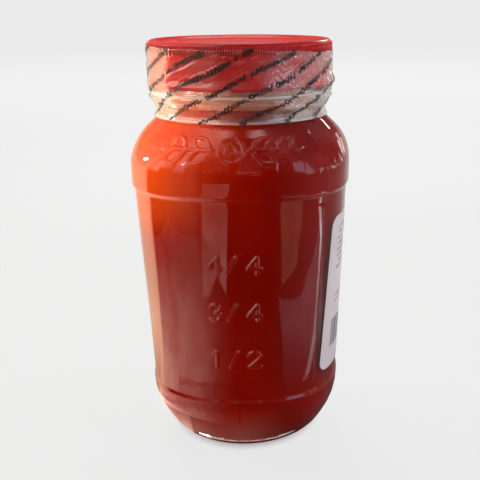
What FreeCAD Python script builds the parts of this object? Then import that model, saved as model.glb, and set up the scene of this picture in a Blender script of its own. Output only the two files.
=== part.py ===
"""A filled glass mason jar of barbecue sauce, shut with a red screw lid, with a clear seal band and a paper label.

Millimetres, +Z up. The origin is the centre of the foot, on the surface that the jar stands on. The jar's front, where
its measuring marks are, faces -Y, and the label is on the side that faces +X.

Each piece starts as an outline of (radius, height) corners, and each corner has its own rounding radius. The lid and
the seal band are that outline turned about Z. The glass and the sauce are round at the foot and the neck but softly
square between, with four bowed sides, so they are built from level cross-sections that follow their outline.
"""

import FreeCAD, Part

import math
import os

# Heights above the table
JAR_TOP = 174.9  # the glass mouth, which the lid's panel rests on
LID_TOP = 176.4
LID_BOTTOM = 158.0
SAUCE_LEVEL = 150.5

# Glass, outside: foot, heel, label panel, shoulder, neck and bead
PUNT_HEIGHT = 3.6  # how far the middle of the foot is pushed up
PUNT_RADIUS = 21.5
FOOT_RADIUS = 31.8  # where the foot's flat would meet the heel's slope
FOOT_ROUNDING = 13.4
HEEL_RADIUS = 42.35
HEEL_CORNER_Z = 17.0
HEEL_ROUNDING = 33.2
PANEL_BOTTOM_Z = 28.7
PANEL_BOTTOM_RADIUS = 41.8
PANEL_TOP_Z = 116.2
PANEL_TOP_RADIUS = 45.7
PANEL_DEPTH = 0.55  # the panel lies this far behind the heel and the shoulder, so that a label isn't rubbed
LEDGE_HEIGHT = 1.5
SHOULDER_RADIUS = 47.0
SHOULDER_CORNER_Z = 134.4
SHOULDER_ROUNDING = 19.8
NECK_RADIUS = 34.9
NECK_BOTTOM_Z = 146.0
NECK_TOP_Z = 149.6
BEAD_RADIUS = 38.1
BEAD_BOTTOM_Z = 152.2
BEAD_TOP_Z = 157.3
FINISH_RADIUS = 36.1  # the plain cylinder inside the lid

# Glass, how square it is: the share by which a corner stands out further than the middle of a side, at each height
SQUARENESS = [(6.4, 0.0), (28.0, 0.05), (115.5, 0.09), (126.0, 0.09), (143.5, 0.0)]

# Glass, inside
WALL = 3.0
BASE_THICKNESS = 5.6
MOUTH_RADIUS = 31.3
FLOOR_FALL = 1.3  # the floor falls this much from its middle to the edge of the punt
FLOOR_EDGE_FALL = 3.0  # and this much to its outer edge
FLOOR_EDGE_INSET = 4.5  # the floor's outer edge lies this far inside the inner heel
INNER_HEEL_Z = 19.5
INNER_HEEL_ROUNDING = 12.8
INNER_SHOULDER_ROUNDING = 16.6
CENTRE = 4.0  # the radius of the small flat in the middle of the foot and of the floor

# Lid: pressed sheet metal
SHEET = 0.4
LID_RIM_RADIUS = 39.15
LID_RIM_WIDTH = 3.85
LID_PANEL_DEPTH = 1.1
LID_RIM_HEIGHT = 4.5  # the height of the gripped band below the top
LID_SKIRT_RADIUS = 38.7
LID_CURL_RADIUS = 39.35
LID_CURL_HEIGHT = 2.1

# Seal band: shrunk film over the lid's skirt and the neck
FILM = 0.2
FILM_GAP = 0.08
FILM_TOP_Z = 172.9
FILM_BOTTOM_Z = 145.0

# Label, on the jar's +X side
LABEL_THICKNESS = 0.15
LABEL_GAP = 0.03
LABEL_BOTTOM_Z = 35.3
LABEL_TOP_Z = 105.5
LABEL_WIDTH = 56.0
LABEL_CORNER = 4.8

# Fineness of the built-up surfaces
SECTION_POINTS = 64
ARC_STEP_DEG = 9.0


def panel_radius(z):
    """The glass's outer radius on the label panel, which widens evenly from bottom to top."""
    share = (z - PANEL_BOTTOM_Z) / (PANEL_TOP_Z - PANEL_BOTTOM_Z)
    return PANEL_BOTTOM_RADIUS + share * (PANEL_TOP_RADIUS - PANEL_BOTTOM_RADIUS)


def rounded(corners):
    """Edges through (radius, height, rounding) corners, with a tangent arc at each corner that has a rounding."""
    points = [FreeCAD.Vector(r, 0, z) for r, z, _ in corners]
    edges, start = [], points[0]
    for before, at, after, corner in zip(points, points[1:], points[2:], corners[1:]):
        rounding = corner[2]
        back, on = (before - at).normalize(), (after - at).normalize()
        opening = back.getAngle(on)
        if rounding > 0 and opening < math.pi - 1e-6:
            reach = rounding / math.tan(opening / 2)
            arc_start, arc_end = at + back * reach, at + on * reach
            bisector = (back + on).normalize()
            middle = at + bisector * (rounding / math.sin(opening / 2) - rounding)
            if (arc_start - start).Length > 1e-6:
                edges.append(Part.makeLine(start, arc_start))
            edges.append(Part.Arc(arc_start, middle, arc_end).toShape())
            start = arc_end
        else:
            edges.append(Part.makeLine(start, at))
            start = at
    edges.append(Part.makeLine(start, points[-1]))
    return edges


def turned(corners):
    """The solid made by turning a closed outline about the Z axis. The outline's first corner is also its last."""
    face = Part.Face(Part.Wire(rounded(corners + [(corners[0][0], corners[0][1], 0)])))
    return face.revolve(FreeCAD.Vector(0, 0, 0), FreeCAD.Vector(0, 0, 1), 360)


def squareness(z):
    """How far a corner stands out at height z, as a share of the side's radius. It changes smoothly with height."""
    if z <= SQUARENESS[0][0] or z >= SQUARENESS[-1][0]:
        return 0.0
    for (z0, s0), (z1, s1) in zip(SQUARENESS, SQUARENESS[1:]):
        if z <= z1:
            t = (z - z0) / (z1 - z0)
            return s0 + (s1 - s0) * t * t * (3 - 2 * t)


def section(radius, z):
    """A level, closed cross-section: a circle that is pushed out at four corners, halfway between the sides."""
    points = []
    for i in range(SECTION_POINTS):
        angle = 2 * math.pi * i / SECTION_POINTS
        r = radius * (1 + squareness(z) * (1 - math.cos(4 * angle)) / 2)
        points.append(FreeCAD.Vector(r * math.cos(angle), r * math.sin(angle), z))
    curve = Part.BSplineCurve()
    curve.interpolate(points, PeriodicFlag=True)
    return curve.toShape()


def between(station, following):
    """The face between the cross-sections of two (radius, height) stations. It is flat where both are level."""
    if abs(station[1] - following[1]) > 1e-6:
        return Part.makeRuledSurface(section(*station), section(*following))
    rings = [Part.Wire(section(*level)) for level in sorted((station, following), reverse=True)]
    return Part.makeFace(rings, "Part::FaceMakerBullseye")


def built_up(stations):
    """The solid with a cross-section at each (radius, height) station. Flat faces close its first and last ones."""
    sides = [between(station, following) for station, following in zip(stations, stations[1:])]
    ends = [Part.Face(Part.Wire(section(*station))) for station in (stations[0], stations[-1])]
    skin = Part.Compound(sides + ends)
    skin.sewShape()
    solid = Part.Solid(skin.Shells[0])
    return solid if solid.Volume > 0 else solid.reversed()


def stations_along(corners):
    """The (radius, height) stations along an open outline, close enough together to follow its arcs."""
    stations = [corners[0][:2]]
    for edge in rounded(corners):
        turn = edge.tangentAt(edge.FirstParameter).getAngle(edge.tangentAt(edge.LastParameter))
        steps = max(1, math.ceil(math.degrees(turn) / ARC_STEP_DEG))
        stations += [(point.x, point.z) for point in edge.discretize(steps + 1)[1:]]
    return stations


def inside_corners():
    """The glass's inner outline, from the middle of its floor up to the neck."""
    floor = PUNT_HEIGHT + BASE_THICKNESS
    heel = HEEL_RADIUS - 1.25 * WALL
    slope_rise = (NECK_BOTTOM_Z - SHOULDER_CORNER_Z) / (SHOULDER_RADIUS - NECK_RADIUS)
    shoulder = SHOULDER_RADIUS - WALL - 0.4
    shoulder_z = SHOULDER_CORNER_Z - WALL * math.hypot(1, slope_rise) + slope_rise * (WALL + 0.4)
    neck_z = shoulder_z + slope_rise * (shoulder - MOUTH_RADIUS)
    return [
        (CENTRE, floor, 0),
        (PUNT_RADIUS * 0.8, floor - FLOOR_FALL, 30.0),
        (heel - FLOOR_EDGE_INSET, floor - FLOOR_EDGE_FALL, INNER_HEEL_ROUNDING - 2),
        (heel, INNER_HEEL_Z, INNER_HEEL_ROUNDING),
        (PANEL_BOTTOM_RADIUS - WALL, PANEL_BOTTOM_Z + 2, 20.0),
        (PANEL_TOP_RADIUS - WALL - 0.1, PANEL_TOP_Z - 2, 20.0),
        (shoulder, shoulder_z, INNER_SHOULDER_ROUNDING),
        (MOUTH_RADIUS, neck_z, 5.0),
    ]


def make_jar():
    """The glass jar: one wall from the pushed-up foot to the mouth, hollow inside."""
    outside = [
        (MOUTH_RADIUS, JAR_TOP, 0.9),
        (FINISH_RADIUS, JAR_TOP, 0.9),
        (FINISH_RADIUS, BEAD_TOP_Z, 0.5),
        (BEAD_RADIUS, BEAD_TOP_Z, 1.2),
        (BEAD_RADIUS, BEAD_BOTTOM_Z, 1.6),
        (NECK_RADIUS, NECK_TOP_Z, 1.6),
        (NECK_RADIUS, NECK_BOTTOM_Z, 3.2),
        (SHOULDER_RADIUS, SHOULDER_CORNER_Z, SHOULDER_ROUNDING),
        (SHOULDER_RADIUS - 0.2, PANEL_TOP_Z + LEDGE_HEIGHT, 1.2),
        (PANEL_TOP_RADIUS, PANEL_TOP_Z, 1.2),
        (PANEL_BOTTOM_RADIUS, PANEL_BOTTOM_Z, 1.2),
        (PANEL_BOTTOM_RADIUS + PANEL_DEPTH, PANEL_BOTTOM_Z - LEDGE_HEIGHT, 1.2),
        (HEEL_RADIUS, HEEL_CORNER_Z, HEEL_ROUNDING),
        (FOOT_RADIUS, 0, FOOT_ROUNDING),
        (PUNT_RADIUS, 0, 2.0),
        (PUNT_RADIUS * 0.8, PUNT_HEIGHT * 0.75, 8.0),
        (CENTRE, PUNT_HEIGHT, 0),
    ]
    return built_up(stations_along(inside_corners() + outside))


def make_sauce():
    """The sauce: it fills the glass up to its level in the neck."""
    return built_up(stations_along(inside_corners() + [(MOUTH_RADIUS, SAUCE_LEVEL, 0)]))


def make_lid():
    """The screw lid: a sunk panel, a raised rim, a gripped band, the skirt and its rolled lower edge."""
    panel_z = LID_TOP - LID_PANEL_DEPTH
    rim_inside = LID_RIM_RADIUS - LID_RIM_WIDTH
    band_z = LID_TOP - LID_RIM_HEIGHT
    curl_z = LID_BOTTOM + LID_CURL_HEIGHT
    inner = LID_SKIRT_RADIUS - SHEET
    outline = [
        (0, panel_z, 0),
        (rim_inside - 0.7, panel_z, 0.6),
        (rim_inside, LID_TOP, 0.6),
        (LID_RIM_RADIUS, LID_TOP, 1.4),
        (LID_RIM_RADIUS, band_z, 0.5),
        (LID_SKIRT_RADIUS, band_z - 0.9, 0.5),
        (LID_SKIRT_RADIUS, curl_z + 0.5, 0.5),
        (LID_CURL_RADIUS, curl_z, 0.5),
        (LID_CURL_RADIUS, LID_BOTTOM, 0.4),
        (inner, LID_BOTTOM, 0.2),
        (inner, LID_TOP - SHEET, 0.9),
        (rim_inside + 0.3, LID_TOP - SHEET, 0.2),
        (rim_inside, panel_z - SHEET, 0.2),
        (0, panel_z - SHEET, 0),
    ]
    return turned(outline)


def make_seal_band():
    """The seal band: a sleeve of film shrunk over the lid's skirt, its rolled edge, the bead and the neck."""
    path = [
        (LID_RIM_RADIUS, FILM_TOP_Z),
        (LID_CURL_RADIUS, LID_BOTTOM + LID_CURL_HEIGHT + 0.4),
        (LID_CURL_RADIUS, LID_BOTTOM - 0.3),
        (BEAD_RADIUS + 0.1, BEAD_TOP_Z - 1.0),
        (BEAD_RADIUS, BEAD_BOTTOM_Z - 0.2),
        (NECK_RADIUS + 0.35, NECK_TOP_Z - 0.7),
        (NECK_RADIUS + 0.35, NECK_BOTTOM_Z + 1.4),
        (NECK_RADIUS + 1.5, FILM_BOTTOM_Z),
    ]
    inner = [(r + FILM_GAP, z, 0.6) for r, z in path]
    outer = [(r + FILM_GAP + FILM, z, 0.6) for r, z in reversed(path)]
    ends = (0, len(path) - 1)
    for side in (inner, outer):
        for i in ends:
            side[i] = side[i][:2] + (0,)
    return turned(inner + outer)


def make_label():
    """The paper label: a thin layer over the panel's +X side, with its four corners rounded off."""
    ends = (PANEL_BOTTOM_Z, PANEL_TOP_Z)
    inner, outer = (
        built_up([(panel_radius(z) + gap, z) for z in ends]) for gap in (LABEL_GAP, LABEL_GAP + LABEL_THICKNESS)
    )
    block = Part.makeBox(2 * PANEL_TOP_RADIUS, LABEL_WIDTH, LABEL_TOP_Z - LABEL_BOTTOM_Z)
    block.translate(FreeCAD.Vector(0, -LABEL_WIDTH / 2, LABEL_BOTTOM_Z))
    along_x = [edge for edge in block.Edges if abs(edge.tangentAt(edge.FirstParameter).x) > 0.99]
    rounded_block = block.makeFillet(LABEL_CORNER, along_x)
    return rounded_block.common(outer).cut(inner).Solids[0]


PIECES = {
    "jar": make_jar,
    "sauce": make_sauce,
    "lid": make_lid,
    "seal_band": make_seal_band,
    "label": make_label,
}

os.makedirs("parts", exist_ok=True)
for name, make in PIECES.items():
    piece = make()
    piece.exportStep(f"parts/{name}.step")
    box = piece.BoundBox
    print(
        f"{name}: {piece.ShapeType}, valid {piece.isValid()}, {piece.Volume / 1000:.1f} cm3,"
        f" radius {max(box.XMax, box.YMax):.2f}, from z {box.ZMin:.2f} to {box.ZMax:.2f}"
    )
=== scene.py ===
# %% [markdown]
# # A jar of barbecue sauce
# This lesson dresses a glass jar of sauce: the glass with its raised figures, the sauce inside, the red screw lid,
# the clear film over lid and neck, and the paper label. The shapes and sizes come from a fixed frame, the CAD model,
# which is loaded first. Everything is in metres, the foot stands on z = 0 and the front of the jar faces -Y.

# %% Load the frame
import math

import bpy
import numpy as np
from mathutils import Matrix, Vector


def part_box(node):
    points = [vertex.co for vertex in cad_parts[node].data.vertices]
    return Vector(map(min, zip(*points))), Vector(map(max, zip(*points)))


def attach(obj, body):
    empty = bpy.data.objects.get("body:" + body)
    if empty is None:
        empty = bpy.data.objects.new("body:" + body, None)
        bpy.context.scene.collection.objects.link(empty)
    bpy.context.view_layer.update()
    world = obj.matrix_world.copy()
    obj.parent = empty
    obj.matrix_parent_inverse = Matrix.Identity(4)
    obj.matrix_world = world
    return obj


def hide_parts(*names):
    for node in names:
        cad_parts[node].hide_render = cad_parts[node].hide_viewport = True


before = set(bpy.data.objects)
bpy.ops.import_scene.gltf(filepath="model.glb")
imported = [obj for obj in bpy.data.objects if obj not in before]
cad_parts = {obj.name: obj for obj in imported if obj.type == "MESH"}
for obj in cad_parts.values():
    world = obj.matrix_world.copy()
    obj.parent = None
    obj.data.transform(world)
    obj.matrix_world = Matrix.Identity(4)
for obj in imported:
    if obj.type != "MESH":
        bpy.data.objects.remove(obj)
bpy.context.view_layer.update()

MM = 0.001

# %% [markdown]
# ## The heights that the pieces share
# The boxes of the CAD nodes give the main heights: where the lid starts, how high the sauce stands, where the film
# ends. The pieces below are drawn from outlines in millimetres, so it is handy to have those heights in millimetres.

# %% Main heights, in millimetres
LID_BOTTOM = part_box("lid")[0].z / MM
LID_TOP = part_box("lid")[1].z / MM
GLASS_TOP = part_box("jar")[1].z / MM
SAUCE_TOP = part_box("sauce")[1].z / MM
FILM_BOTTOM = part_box("seal_band")[0].z / MM
print("lid", LID_BOTTOM, LID_TOP, "glass top", GLASS_TOP, "sauce top", SAUCE_TOP)

# %% [markdown]
# ## Camera
# The camera looks down on the jar from about 16 degrees above, a little from the side that has the label. It is
# rolled by a third of a degree, as a camera held in the hand is, and its lens is shifted a little sideways, which
# places the jar in the frame without turning the view. A matrix made from the camera's three directions is the
# plainest way to set such a view exactly.

# %% The camera
CAMERA_DISTANCE = 0.3634
CAMERA_HEIGHT = 0.1939
CAMERA_TURN = math.radians(5.5)
CAMERA_DIP = math.radians(16.37)
CAMERA_YAW = math.radians(-2.95)
CAMERA_ROLL = math.radians(0.32)
CAMERA_LENS = 62.6
CAMERA_SHIFT = -0.094


def make_camera():
    heading = CAMERA_TURN + CAMERA_YAW
    ahead = Vector((-math.sin(heading), math.cos(heading), 0)) * math.cos(CAMERA_DIP)
    ahead.z = -math.sin(CAMERA_DIP)
    level = ahead.cross(Vector((0, 0, 1))).normalized()
    upright = level.cross(ahead)
    right = level * math.cos(CAMERA_ROLL) - upright * math.sin(CAMERA_ROLL)
    up = level * math.sin(CAMERA_ROLL) + upright * math.cos(CAMERA_ROLL)
    data = bpy.data.cameras.new("camera")
    data.lens = CAMERA_LENS
    data.shift_x = CAMERA_SHIFT
    data.clip_start = 0.01
    camera = bpy.data.objects.new("camera", data)
    camera.matrix_world = Matrix((right, up, -ahead)).transposed().to_4x4()
    camera.location = (
        CAMERA_DISTANCE * math.sin(CAMERA_TURN),
        -CAMERA_DISTANCE * math.cos(CAMERA_TURN),
        CAMERA_HEIGHT,
    )
    bpy.context.scene.collection.objects.link(camera)
    bpy.context.scene.camera = camera
    return camera


camera = make_camera()
print("camera at", [round(v, 3) for v in camera.location])

# %% [markdown]
# ## Shader maths
# A material's numbers come from nodes. Writing them as sums is easier to read than wiring Math nodes by hand, so this
# small class wraps a socket, and adding or multiplying two of them adds the Math node. The same class and the same
# `node` function also serve the Geometry Nodes trees further down.

# %% A socket that behaves like a number


class Wire:
    """A node's output that can be used in sums."""

    def __init__(self, tree, socket):
        self.tree = tree
        self.socket = socket

    def twin(self, output):
        """Another output of the same node."""
        return Wire(self.tree, self.socket.node.outputs[output])

    def maths(self, operation, *others):
        return node(self.tree, "ShaderNodeMath", {"operation": operation}, dict(enumerate((self, *others))))

    def reflected(self, operation, other):
        return node(self.tree, "ShaderNodeMath", {"operation": operation}, {0: other, 1: self})

    def __add__(self, other):
        return self.maths("ADD", other)

    def __radd__(self, other):
        return self.maths("ADD", other)

    def __mul__(self, other):
        return self.maths("MULTIPLY", other)

    def __rmul__(self, other):
        return self.maths("MULTIPLY", other)

    def __sub__(self, other):
        return self.maths("SUBTRACT", other)

    def __rsub__(self, other):
        return self.reflected("SUBTRACT", other)

    def __truediv__(self, other):
        return self.maths("DIVIDE", other)

    def __rtruediv__(self, other):
        return self.reflected("DIVIDE", other)

    def __pow__(self, other):
        return self.maths("POWER", other)

    def __rpow__(self, other):
        return self.reflected("POWER", other)


def node(tree, kind, settings=None, inputs=None, output=0):
    """Adds a node: its settings first, then the values or wires of its inputs. A list is several wires."""
    made = tree.nodes.new(kind)
    for key, value in (settings or {}).items():
        if key == "stops":
            stops = made.color_ramp.elements
            while len(stops) < len(value):
                stops.new(0.5)
            for stop, (place, colour) in zip(stops, value):
                stop.position = place
                stop.color = (*colour, 1.0)
        else:
            setattr(made, key, value)
    for key, value in (inputs or {}).items():
        if isinstance(value, Wire):
            tree.links.new(value.socket, made.inputs[key])
        elif isinstance(value, list):
            for wire in value:
                tree.links.new(wire.socket, made.inputs[key])
        elif isinstance(value, tuple) and len(value) == 3 and made.inputs[key].type == "RGBA":
            made.inputs[key].default_value = (*value, 1.0)
        else:
            made.inputs[key].default_value = value
    return Wire(tree, made.outputs[output])


def new_material(name):
    material = bpy.data.materials.new(name)
    material.use_nodes = True
    material.node_tree.nodes.clear()
    return material, material.node_tree


def finish_material(tree, surface):
    out = tree.nodes.new("ShaderNodeOutputMaterial")
    tree.links.new(surface.socket, out.inputs["Surface"])


print("a socket can be used in sums")

# %% Soft changes between values and colours


def smooth_step(value, start, end):
    """0 below start, 1 above end and a soft change between them."""
    inputs = {"Value": value, "From Min": start, "From Max": end}
    return node(value.tree, "ShaderNodeMapRange", {"interpolation_type": "SMOOTHSTEP"}, inputs)


def soft_band(value, start, full, last, end):
    """Rises from 0 to 1 between start and full, and falls back to 0 between last and end."""
    return smooth_step(value, start, full) * (1 - smooth_step(value, last, end))


def mix_colours(share, first, second):
    inputs = {0: share, 6: first, 7: second}
    return node(share.tree, "ShaderNodeMix", {"data_type": "RGBA"}, inputs, output=2)


print("soft steps, bands and colour mixes ready")

# %% Places and patterns


def object_place(tree):
    """Where a point of the surface is, in metres. Every object is at the origin, so this is the jar's frame."""
    return node(tree, "ShaderNodeTexCoord", output="Object")


def parts(place):
    """The x, y and z of a place."""
    split = node(place.tree, "ShaderNodeSeparateXYZ", {}, {"Vector": place})
    return [split.twin(axis) for axis in "XYZ"]


def distance(place):
    """How far a place is from the origin, which is the middle of the foot."""
    return node(place.tree, "ShaderNodeVectorMath", {"operation": "LENGTH"}, {0: place}, output=1)


def around(place):
    """The angle round the jar from -1 to 1: 0 is the front, 0.5 is +X."""
    x, y, _ = parts(place)
    return x.maths("ARCTAN2", y * -1) / math.pi


def stretched(place, height_scale):
    """A place for patterns that run upright, with a scale below 1, or level, with a scale above 1."""
    return node(place.tree, "ShaderNodeMapping", {}, {"Vector": place, "Scale": (1.0, 1.0, height_scale)})


def noise(place, scale, detail, roughness=0.5):
    inputs = {"Vector": place, "Scale": scale, "Detail": detail, "Roughness": roughness}
    return node(place.tree, "ShaderNodeTexNoise", {}, inputs)


def bumps(height, strength):
    """A Normal that follows a height in metres."""
    inputs = {"Strength": strength, "Distance": 1.0, "Height": height}
    return node(height.tree, "ShaderNodeBump", {}, inputs)


print("places, noise and bumps ready")

# %% [markdown]
# ## Floor
# A plain pale floor curves up behind the jar into a backdrop, so that no horizon shows. What the camera sees of it is
# mostly a glow of its own, which keeps the pale ground even, with some ordinary matt colour to keep the soft shadow.
# The light that it throws back onto the jar is weaker, as on a dark table, or the sauce would lose its depth. Close
# to the foot the floor is dark for all rays, because no light gets in under the jar, and for the rays that come
# through the glass it is dark a little further out, or a white line would shine through along the foot.

# %% Meshes from points


def mesh_object(name, points, faces, smooth=True):
    """An object with a mesh of these points, in metres, and these faces."""
    mesh = bpy.data.meshes.new(name)
    mesh.from_pydata(points, [], faces)
    mesh.polygons.foreach_set("use_smooth", [smooth] * len(mesh.polygons))
    obj = bpy.data.objects.new(name, mesh)
    bpy.context.scene.collection.objects.link(obj)
    return obj


def ring_faces(rows, sides, first=0, flipped=False):
    """The faces between rings of points that follow each other, closed round."""
    index = first + np.arange(rows * sides).reshape(rows, sides)
    nxt = np.roll(index, -1, axis=1)
    faces = np.stack([index[:-1], nxt[:-1], nxt[1:], index[1:]], axis=2).reshape(-1, 4)
    return (faces[:, [0, 3, 2, 1]] if flipped else faces).tolist()


def disc_mesh(name, profile, sides=96):
    """A turned sheet from (radius, height) points in metres. A first radius of 0 closes its middle."""
    closed = profile[0][0] == 0
    rings = profile[1:] if closed else profile
    turn = [2 * math.pi * j / sides for j in range(sides)]
    points = [(0, 0, profile[0][1])] if closed else []
    points += [(r * math.cos(a), r * math.sin(a), z) for r, z in rings for a in turn]
    faces = [(0, 1 + j, 1 + (j + 1) % sides) for j in range(sides)] if closed else []
    disc = mesh_object(name, points, faces + ring_faces(len(rings), sides, int(closed), flipped=True))
    return disc


print("mesh helpers ready")

# %% The floor and its colour
PALE = (0.845, 0.845, 0.845)
DARK_WARM = (0.34, 0.22, 0.18)
FLOOR_GLOW = 0.98
FLOOR_MATT_SHARE = 0.06
FLOOR_RADIUS = 3.0
COVE_RADIUS = 1.0
BACKDROP_HEIGHT = 3.0


def floor_material():
    material, tree = new_material("pale floor")
    glow = node(tree, "ShaderNodeEmission", {}, {"Color": PALE, "Strength": FLOOR_GLOW})
    matt = node(tree, "ShaderNodeBsdfDiffuse", {}, {"Color": PALE})
    shown = node(tree, "ShaderNodeMixShader", {}, {0: FLOOR_MATT_SHARE, 1: glow, 2: matt})
    dim = node(tree, "ShaderNodeBsdfDiffuse", {}, {"Color": DARK_WARM})
    rays = node(tree, "ShaderNodeLightPath", output="Is Camera Ray")
    scattered = rays.twin("Diffuse Depth").maths("GREATER_THAN", 0.5)
    away = distance(object_place(tree))
    through_glass = rays.twin("Is Transmission Ray") * smooth_step(away, 0.034, 0.048)
    mirrored = rays.twin("Is Glossy Ray").maths("MAXIMUM", through_glass)
    seen = rays.maths("MAXIMUM", mirrored) * (1 - scattered) * smooth_step(away, 0.022, 0.035)
    finish_material(tree, node(tree, "ShaderNodeMixShader", {}, {0: seen, 1: dim, 2: shown}))
    return material


cove = [
    (FLOOR_RADIUS + COVE_RADIUS * math.sin(a), COVE_RADIUS * (1 - math.cos(a)))
    for a in np.linspace(0, math.pi / 2, 13)
]
floor = disc_mesh("floor", [(0, 0), *cove, (FLOOR_RADIUS + COVE_RADIUS, BACKDROP_HEIGHT)])
floor.data.materials.append(floor_material())
print("floor", len(floor.data.polygons), "faces")

# %% [markdown]
# ## Lamps
# A warm spot from the left makes the sauce glow where it enters the glass, and a small sun lamp beside it gives that
# edge its sparkle. A large soft lamp above and behind lights the top of the lid. Weaker ones stand in front, low at
# the left and, cooler, at the right, two small ones put a glint on the shoulder and on the lid, and the last one is
# only for the backdrop. A lamp that is `mirrored` shows in the gloss as a small bright shape. The others are hidden
# from the gloss, so that they light the jar and leave no marks on it.

# %% Lamps


def aim(obj, place, target):
    obj.location = place
    obj.rotation_mode = "QUATERNION"
    obj.rotation_quaternion = (Vector(target) - Vector(place)).to_track_quat("-Z", "Y")
    bpy.context.scene.collection.objects.link(obj)


def make_lamp(name, place, target, width, height, power, colour, mirrored):
    data = bpy.data.lights.new(name, "AREA")
    data.shape = "RECTANGLE"
    data.size, data.size_y = width, height
    data.energy = power
    data.color = colour
    lamp = bpy.data.objects.new(name, data)
    lamp.visible_glossy = mirrored
    aim(lamp, place, target)


def make_spot(name, place, target, opening_deg, power, colour):
    data = bpy.data.lights.new(name, "SPOT")
    data.spot_size = math.radians(opening_deg)
    data.spot_blend = 0.9
    data.shadow_soft_size = 0.02
    data.energy = power
    data.color = colour
    lamp = bpy.data.objects.new(name, data)
    lamp.visible_glossy = False
    aim(lamp, place, target)


make_spot("warm spot", (-0.40, -0.145, 0.27), (-0.036, -0.018, 0.141), 12.5, 10.0, (1.0, 0.80, 0.55))
# name, place, target, width, height, power, colour, mirrored
LAMPS = [
    ("sun lamp", (-0.42, 0.10, 0.28), (-0.04, 0, 0.14), 0.05, 0.05, 0.8, (1.0, 0.93, 0.85), True),
    ("top lamp", (-0.15, 0.55, 0.75), (0, 0, 0.12), 0.6, 0.4, 10.0, (1.0, 0.98, 0.96), False),
    ("glint lamp", (-0.50, -0.55, 0.50), (0, 0, 0.11), 0.04, 0.04, 0.16, (1.0, 0.96, 0.92), True),
    ("lid lamp", (0.36, 0.80, 0.52), (0.02, 0, 0.17), 0.20, 0.12, 1.4, (1.0, 0.9, 0.88), True),
    ("front lamp", (0.30, -0.7, 0.40), (0, 0, 0.08), 0.6, 0.5, 0.7, (1.0, 0.82, 0.74), False),
    ("right lamp", (0.75, -0.15, 0.35), (0, 0, 0.08), 0.5, 0.5, 4.0, (0.92, 0.96, 1.0), False),
    ("low left lamp", (-0.5, -0.25, 0.03), (0, 0, 0.03), 0.3, 0.1, 1.6, (1.0, 0.80, 0.66), False),
    ("backdrop lamp", (0, 1.2, 1.4), (0, 3.2, 0.1), 2.5, 1.0, 90.0, (1.0, 1.0, 1.0), False),
]
for lamp in LAMPS:
    make_lamp(*lamp)

# %% [markdown]
# ## A dome for reflections
# Glass shows its form by what it reflects. A dome that only reflections can see stands round the jar, like the tent
# that a studio puts round shiny things: dark in front, so that the sauce stays deep, brightest at the left and paler
# behind. Near the ground it has short level streaks and a cluster of small lights, as a room has, and its sky is a
# little cloudy. A bright patch high above the back is what draws the upper edges of the raised figures. The colours
# come from two ramps of the angle round the jar, one near the ground and one for the sky, which fade into each other.

# %% The lower part of the dome


def dome_low(place, angle, colour):
    """The lower part: dark close to the jar, and with short level streaks of light in front."""
    z = parts(place)[2]
    near_jar = 1 - smooth_step(distance(place), 0.05, 0.16)
    colour = mix_colours(near_jar * 0.8, colour, (0.02, 0.015, 0.015))
    streaks = smooth_step(noise(stretched(place, 6.0), 2.2, 3.0), 0.53, 0.60)
    streaks = streaks * soft_band(z, 0.03, 0.12, 0.45, 0.60) * soft_band(angle, -50.4, -28.8, 57.6, 72.0)
    return mix_colours(streaks, colour, (1.1, 0.80, 0.62))


def small_lights(place, angle):
    """Where a cluster of small lights stands, low at the right and behind."""
    z = parts(place)[2]
    specks = smooth_step(noise(stretched(place, 0.45), 6.0, 3.0, 0.7), 0.54, 0.58)
    return specks * soft_band(angle, 72.0, 82.8, 151.2, 162.0) * soft_band(z, 0.02, 0.10, 0.45, 0.60)


print("the dome's lower part is described")

# %% The upper part of the dome


def open_gap(place, angle, clutter):
    """A ragged upright gap of pale sky at the right."""
    z = parts(place)[2]
    across = soft_band(angle + clutter * 21.6, 50.4, 55.8, 77.4, 84.6)
    return across * soft_band(z + clutter * 0.4, 0.30, 0.40, 1.15, 1.40)


def ceiling_patch(place):
    """A bright patch high above the jar and behind it, which draws the upper edges of what is raised."""
    x, y, z = parts(place)
    narrow = 1 - smooth_step(x.maths("ABSOLUTE"), 0.30, 0.45)
    return smooth_step(y, -0.20, -0.12) * smooth_step(z, 1.15, 1.25) * narrow


def dome_material(name, low_stops, sky_stops):
    material, tree = new_material(name)
    place = object_place(tree)
    z = parts(place)[2]
    turn = around(place)
    angle = turn * 180
    low = node(tree, "ShaderNodeValToRGB", {"stops": low_stops}, {"Fac": turn * 0.5 + 0.5})
    sky = node(tree, "ShaderNodeValToRGB", {"stops": sky_stops}, {"Fac": turn * 0.5 + 0.5})
    clutter = noise(stretched(place, 0.45), 1.3, 3.0)
    sky = mix_colours(smooth_step(clutter, 0.40, 0.60) * 0.55 + 0.45, (0.03, 0.025, 0.025), sky)
    colour = mix_colours(smooth_step(z, 0.15, 0.45), dome_low(place, angle, low), sky)
    colour = mix_colours(ceiling_patch(place), colour, (3.4, 2.9, 2.7))
    colour = mix_colours(open_gap(place, angle, clutter), colour, (1.5, 1.5, 2.0))
    colour = mix_colours(small_lights(place, angle), colour, (3.2, 2.9, 2.7))
    finish_material(tree, node(tree, "ShaderNodeEmission", {}, {"Color": colour, "Strength": 1.0}))
    return material


print("the dome's sky is described")

# %% The dome's colours by angle


def by_angle(*stops):
    """Ramp stops from (angle in degrees, colour): the front is at 0 and +X is at 90."""
    return [(0.5 + angle / 360, colour) for angle, colour in stops]


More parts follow.
